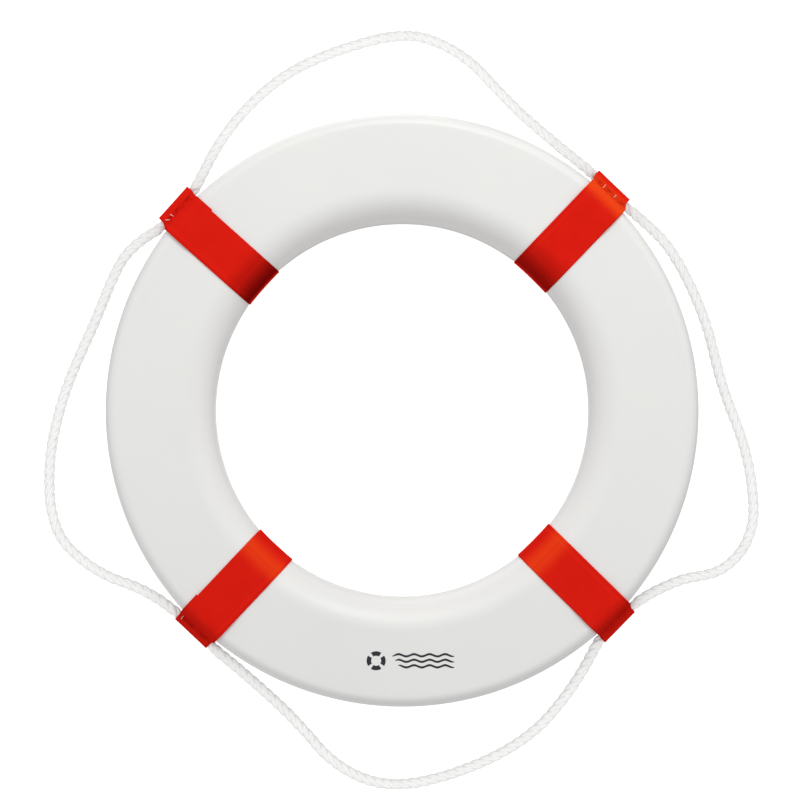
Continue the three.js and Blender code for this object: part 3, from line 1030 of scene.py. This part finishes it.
def grab_line_loop(side):
    """One loop's rope. Its lay is adjusted to a whole number of thirds of a turn from end to end."""
    path = loop_path(side)
    length = arc_lengths(path)[-1]
    lay = length / (round(length / ROPE_LAY * 3) / 3)
    pressed = PRESSED_ROPE_RADIUS / ROPE_RADIUS
    helix_radius = ROPE_RADIUS - ROPE_STRAND
    points, faces, uvs = twisted(path, ROPE_STRAND, helix_radius, lay, ROPE_STEP, ROPE_SIDES, pressed)
    body = f"{side}_loop"
    piece = make_object(f"{side}_loop_rope", points, faces, ROPE, None, uvs)
    joint = next(joint for joint in frame["joints"] if joint["child"] == body)
    hinge = Vector(joint["pos_m"])
    outward = Vector((0, 0, 1)).cross(Vector(joint["axis"]))
    if outward.dot(hinge) < 0:
        outward.negate()
    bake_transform(piece)
    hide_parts(f"grab_line_loop_{side}")
    return piece


def grab_line():
    """The four loops, which also stand for the lengths of rope in the tunnels."""
    pieces = {side: grab_line_loop(side) for side in LOOPS}
    for place in ("upper_right", "upper_left", "lower_left"):
        for side, ends in LOOPS.items():
            if place in ends:
                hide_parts(f"rope_pass_{place}")
    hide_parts("rope_first_end")
    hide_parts("rope_last_end")


# ---------------------------------------------------------------- printed mark

MARK_CENTRE = (8.0, -250.0)
MARK_INK = (0.05, 0.09)
MARK_RING_SHIFT = -34.0
MARK_RING_RADII = (5.0, 9.5)
MARK_RING_ARC = 33
MARK_WAVES = 3
WAVE_SPAN = (-18, 44)
WAVE_SHIFT = 3
WAVE_SPACING = 5.5
WAVE_LENGTH = 15.5
WAVE_HEIGHT = 1.1
WAVE_TAPER = 5


def printed_mark():
    """A plain pictogram on the front face: a small lifebuoy and three waves."""
    points = []
    faces = []

    def strip(lower, upper):
        base = len(points)
        for (x0, y0), (x1, y1) in zip(lower, upper):
            points.extend([(x0, y0), (x1, y1)])
        for i in range(len(lower) - 1):
            a = base + 2 * i
            faces.append((a, a + 2, a + 3, a + 1))

    cx, cy = MARK_CENTRE

    def arc(radius, turns):
        return [(cx + MARK_RING_SHIFT + radius * math.cos(a), cy + radius * math.sin(a)) for a in turns]

    hole, rim_radius = MARK_RING_RADII
    for quarter in range(4):
        turns = np.radians(np.linspace(quarter * 90 - MARK_RING_ARC, quarter * 90 + MARK_RING_ARC, 15))
        strip(arc(rim_radius, turns), arc(hole, turns))

    start, end = WAVE_SPAN
    xs = np.linspace(start, end, end - start + 1)
    for number in range(MARK_WAVES):
        level = cy + WAVE_SPACING - number * WAVE_SPACING
        left = start + WAVE_SHIFT * number
        row = xs[xs >= left]
        crest = level + WAVE_HEIGHT * np.sin(row * 2 * math.pi / WAVE_LENGTH)
        to_tip = np.minimum(row - left, end - row) + 0.3
        taper = WAVE_HEIGHT * np.sqrt(np.clip(to_tip / WAVE_TAPER, 0, 1))
        strip(list(zip(cx + row, crest - taper)), list(zip(cx + row, crest + taper)))

    flat = np.array(points)
    radius = np.hypot(flat[:, 0], flat[:, 1])
    height = HALF_THICKNESS + ripple(np.arctan2(flat[:, 1], flat[:, 0]), face_place(radius))
    sunk, raised = MARK_INK
    shape = bmesh.new()
    upper = [shape.verts.new(p * MM) for p in np.column_stack([flat, height + raised])]
    lower = [shape.verts.new(p * MM) for p in np.column_stack([flat, height - sunk])]
    for face in faces:
        shape.faces.new([upper[i] for i in face])
        shape.faces.new([lower[i] for i in reversed(face)])
    index_of = {vert: i for i, vert in enumerate(upper)}
    for edge in [edge for edge in shape.edges if edge.is_boundary]:
        a, b = edge.verts
        if a in index_of and b in index_of:
            i, k = index_of[a], index_of[b]
            shape.faces.new([upper[i], upper[k], lower[k], lower[i]])
    bmesh.ops.recalc_face_normals(shape, faces=shape.faces)
    mesh = mesh_of("printed_mark", shape)
    mesh.materials.append(INK)
    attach(linked("printed_mark", mesh), "ring")


# ---------------------------------------------------------------- stage, lights, camera


FLOOR_REACH = 12.0
FLOOR_CLEARANCE = 0.0002


def stage():
    """A plain white floor that only the camera sees, and only from above, so that the underside is lit."""
    s = Shader("floor")
    diffuse = s.add("ShaderNodeBsdfDiffuse", {"Color": (0.86, 0.86, 0.86, 1)})
    glow = s.add("ShaderNodeEmission", {"Color": (1, 1, 1, 1), "Strength": 0.75})
    path = s.add("ShaderNodeLightPath")
    seen_glow = s.add("ShaderNodeMixShader", {0: path.outputs["Is Camera Ray"], 2: glow.outputs[0]})
    lit = s.add("ShaderNodeAddShader", {0: diffuse.outputs[0], 1: seen_glow.outputs[0]})
    clear = s.add("ShaderNodeBsdfTransparent")
    below = s.add("ShaderNodeNewGeometry").outputs["Backfacing"]
    either = s.add("ShaderNodeMixShader", {0: below, 1: lit.outputs[0], 2: clear.outputs[0]})
    s.add("ShaderNodeOutputMaterial", {"Surface": either.outputs[0]})
    level = cad_low.z - FLOOR_CLEARANCE
    mesh = bpy.data.meshes.new("floor")
    corners = [(x * FLOOR_REACH, y * FLOOR_REACH, level) for x, y in ((-1, -1), (1, -1), (1, 1), (-1, 1))]
    mesh.from_pydata(corners, [], [(0, 1, 2, 3)])
    mesh.materials.append(s.material)
    floor = linked("floor", mesh)
    floor.visible_diffuse = False
    floor.visible_glossy = False
    floor.visible_transmission = False
    floor.visible_shadow = False


WHITE = (1.0, 1.0, 1.0)
WARM = (1.0, 0.985, 0.96)
WARMER = (1.0, 0.985, 0.955)
LAMP_SIZE = 1.6
ROPE_LAMP_SIZE = 5.0
SKY_GLOW = 0.575
FLOOR_GLOW = 0.62


def area_light(name, place, size, power, tint, for_rope=False):
    """A soft round lamp that lights either the rope alone or all but the rope."""
    light = bpy.data.lights.new(name, "AREA")
    light.shape = "DISK"
    light.size = size
    light.energy = power
    light.color = tint
    lamp = linked(name, light)
    lamp.location = place
    lamp.rotation_mode = "QUATERNION"
    lamp.rotation_quaternion = (-Vector(place)).to_track_quat("-Z", "Y")
    ropes = bpy.data.collections.new(f"{name}_ropes")
    for side in LOOPS:
        ropes.objects.link(bpy.data.objects[f"{side}_loop_rope"])
    for rope in ropes.collection_objects:
        rope.light_linking.link_state = "INCLUDE" if for_rope else "EXCLUDE"
    lamp.light_linking.receiver_collection = ropes


def lights():
    """Soft lamps in a white studio, whose floor throws light back up. The camera sees plain white."""
    area_light("key", (0.25, 1.9, 2.0), LAMP_SIZE, 32.0, WARMER)
    area_light("side", (2.0, 0.2, 1.4), LAMP_SIZE, 4.0, WARM)
    area_light("under", (-0.5, 1.3, -1.6), LAMP_SIZE, 6.0, WHITE)
    area_light("fill", (-2.2, -0.5, 0.7), LAMP_SIZE, 5.0, WARM)
    area_light("rope", (0.0, 0.0, 2.0), ROPE_LAMP_SIZE, 44.0, WHITE, for_rope=True)
    world = bpy.data.worlds.new("studio")
    world.use_nodes = True
    bpy.context.scene.world = world
    s = Shader("studio", world.node_tree)
    height = s.add("ShaderNodeSeparateXYZ", {"Vector": s.add("ShaderNodeTexCoord").outputs["Generated"]})
    glow = s.ramp(height.outputs["Z"], 0.0, -0.2, SKY_GLOW, FLOOR_GLOW)
    seen = s.add("ShaderNodeLightPath").outputs["Is Camera Ray"]
    strength = s.math("MAXIMUM", glow, seen)
    background = s.add("ShaderNodeBackground", {"Color": (1, 1, 1, 1), "Strength": strength})
    s.add("ShaderNodeOutputWorld", {"Surface": background.outputs[0]})


CAMERA_HEIGHT = 2.6
CAMERA_OFFSET = (0.0023, 0.0058)
FRAME_WIDTH = 0.8217
SENSOR_WIDTH = 36.0


def camera():
    """Looks straight down on the front face and takes in FRAME_WIDTH metres at the mid-plane."""
    data = bpy.data.cameras.new("camera")
    data.sensor_width = SENSOR_WIDTH
    data.lens = SENSOR_WIDTH * CAMERA_HEIGHT / FRAME_WIDTH
    eye = linked("camera", data)
    eye.location = (*CAMERA_OFFSET, CAMERA_HEIGHT)
    bpy.context.scene.camera = eye


# ---------------------------------------------------------------- whole scene

ring()
for node in PLUG_NODES:
    plug(node)
path, along = strap_path()
for place in STRAPS:
    strap(place, path, along)
    stitches(place, path)
grab_line()
printed_mark()
stage()
lights()
camera()
bpy.context.scene.view_settings.view_transform = "Standard"
bpy.context.scene.view_settings.look = "None"
